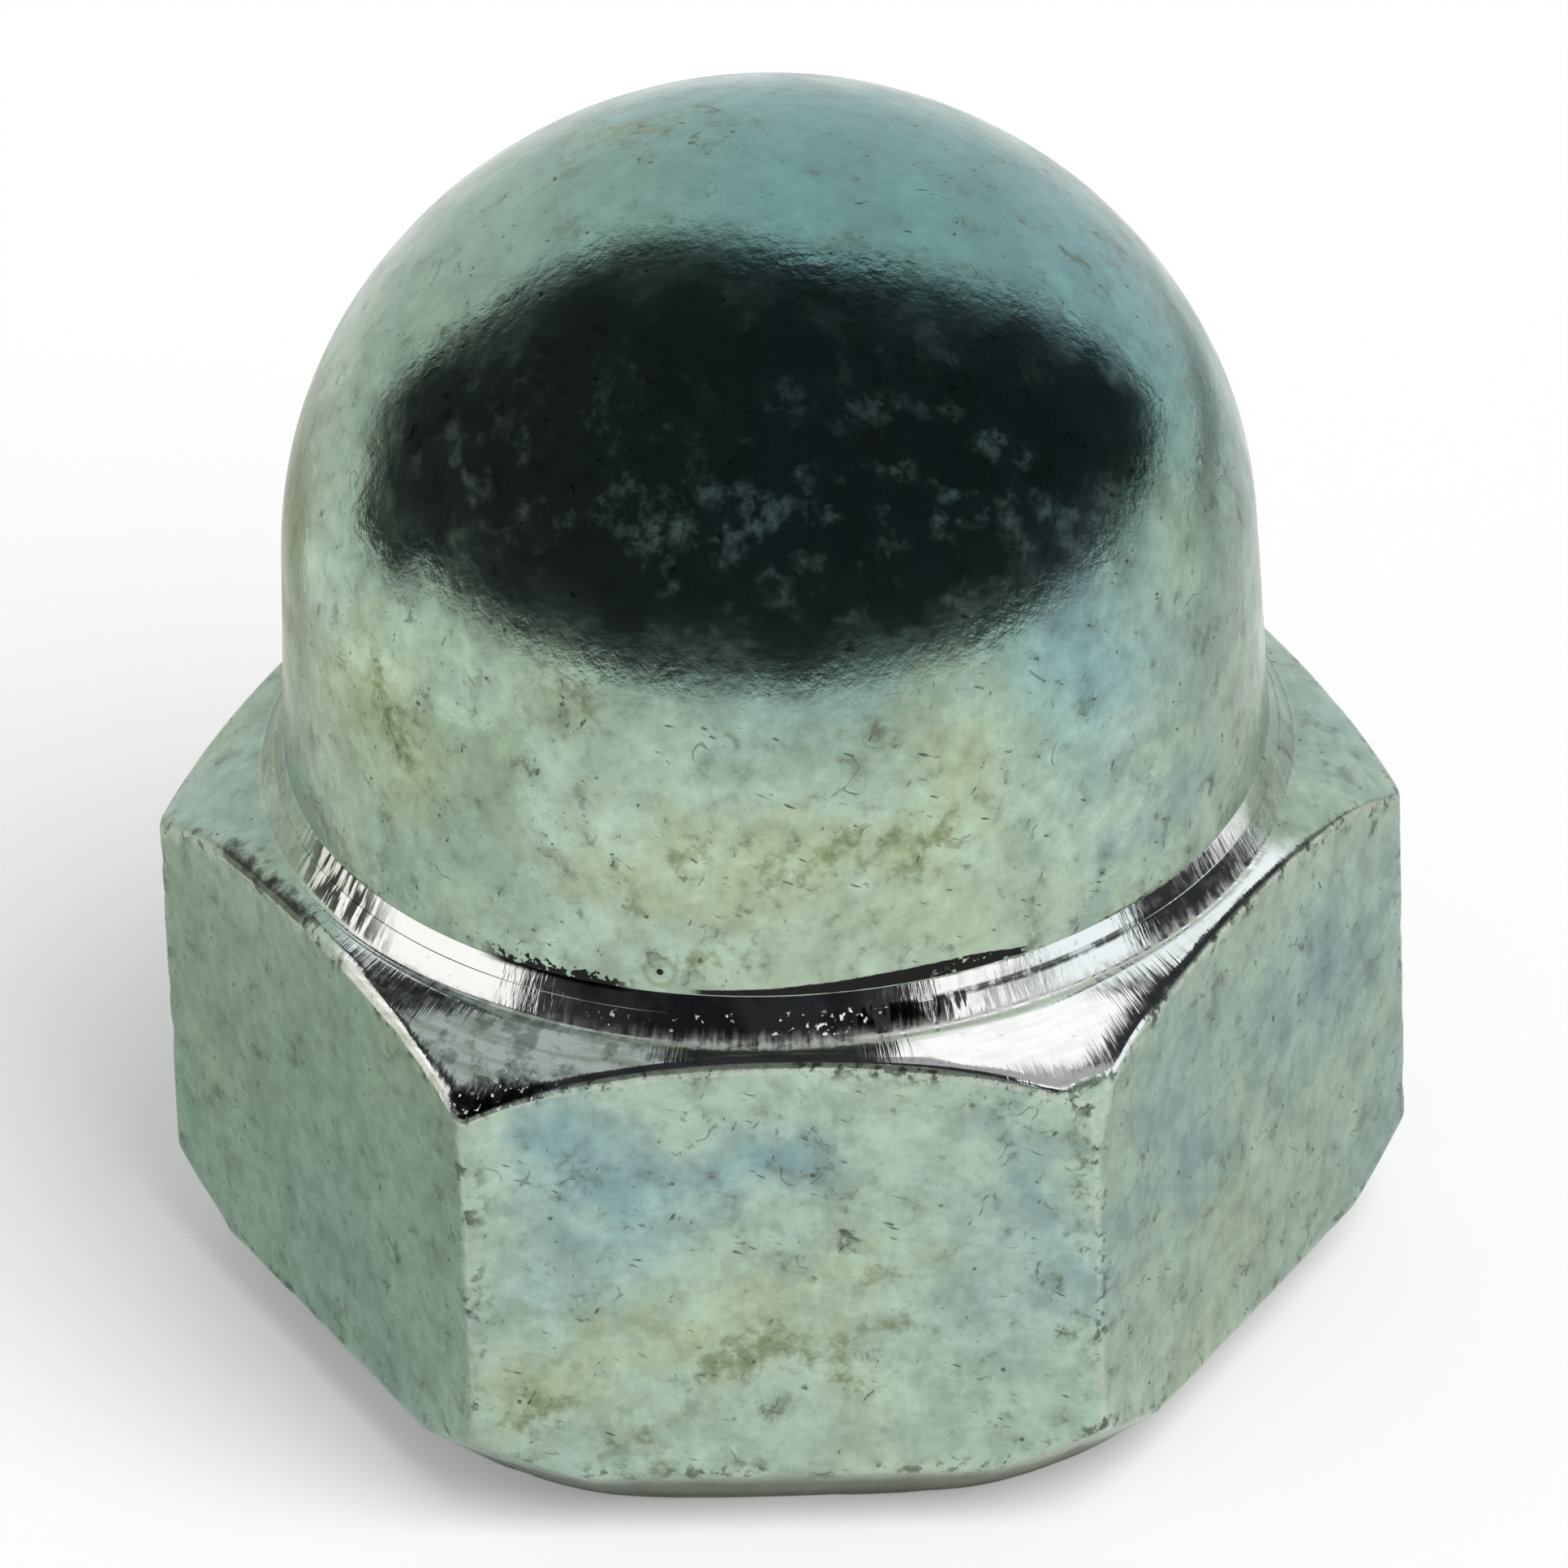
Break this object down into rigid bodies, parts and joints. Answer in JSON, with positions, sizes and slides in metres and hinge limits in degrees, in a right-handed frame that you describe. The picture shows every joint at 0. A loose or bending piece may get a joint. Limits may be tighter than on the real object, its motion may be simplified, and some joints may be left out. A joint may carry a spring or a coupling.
{
  "type": "cap nut",
  "caption": "Domed cap nut: a hexagon with a closed rounded cap and a blind threaded hole, which covers and protects the end of a bolt or stud.",
  "frame": {"origin": "centre of the bearing face, on the thread's axis, at the lowest point of the nut", "axes": "+Z along the thread's axis towards the dome, +X through a corner of the hexagon, -Y out of the flat that faces the viewer"},
  "size_m": [0.0218, 0.019, 0.0225],
  "materials": {
    "zinc_plate": "zinc-plated steel, pale green-grey satin with yellowish and bluish stains and fine nicks"
  },
  "bodies": {
    "root": {"cap_nut": "zinc_plate"}
  },
  "joints": []
}
